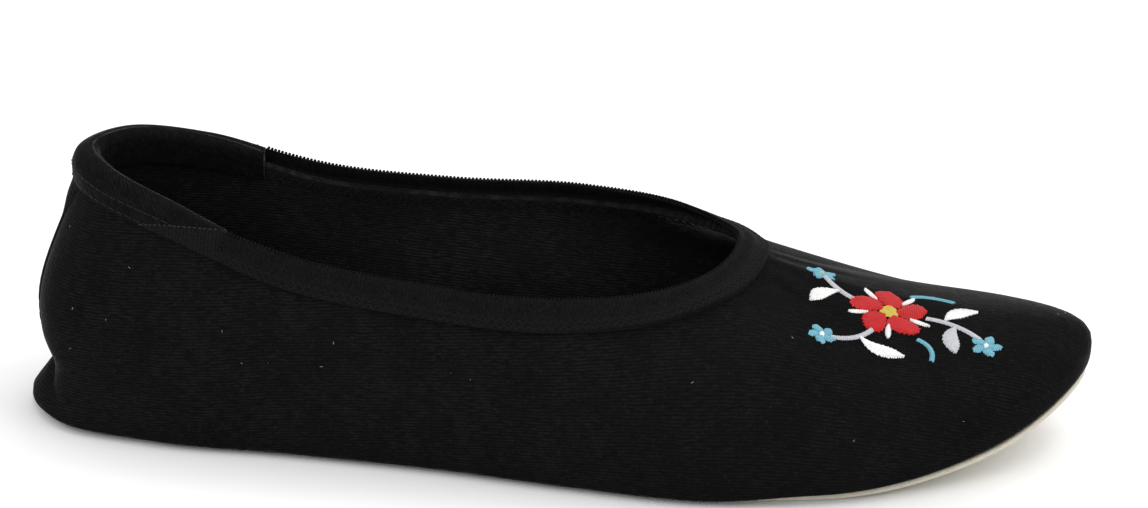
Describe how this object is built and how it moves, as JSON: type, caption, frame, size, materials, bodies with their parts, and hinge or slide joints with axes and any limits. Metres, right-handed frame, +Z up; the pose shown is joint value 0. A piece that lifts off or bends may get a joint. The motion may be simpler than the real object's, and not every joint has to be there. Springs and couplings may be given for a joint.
{
  "type": "gymnastics slipper",
  "caption": "Soft black child's gymnastics slipper for the right foot, with a thin pale sole that the upper rolls round, an elastic collar and a bound heel edge.",
  "frame": {"origin": "middle of the slipper's box in plan, on the floor that the sole stands on", "axes": "+X from heel to toe, +Y to the inner (medial) side of the right foot, +Z up"},
  "size_m": [0.2016, 0.0754, 0.0523],
  "materials": {
    "upper": "matte black stretch knit with fine ribs",
    "outsole": "napped pale leather",
    "insole": "dark lining fabric",
    "collar_elastic": "ribbed black elastic",
    "heel_binding": "folded black fabric",
    "back_strip": "folded black fabric"
  },
  "bodies": {
    "root": {"upper": "upper", "outsole": "outsole", "insole": "insole", "collar_elastic": "collar_elastic", "heel_binding": "heel_binding", "back_strip": "back_strip"}
  },
  "joints": []
}
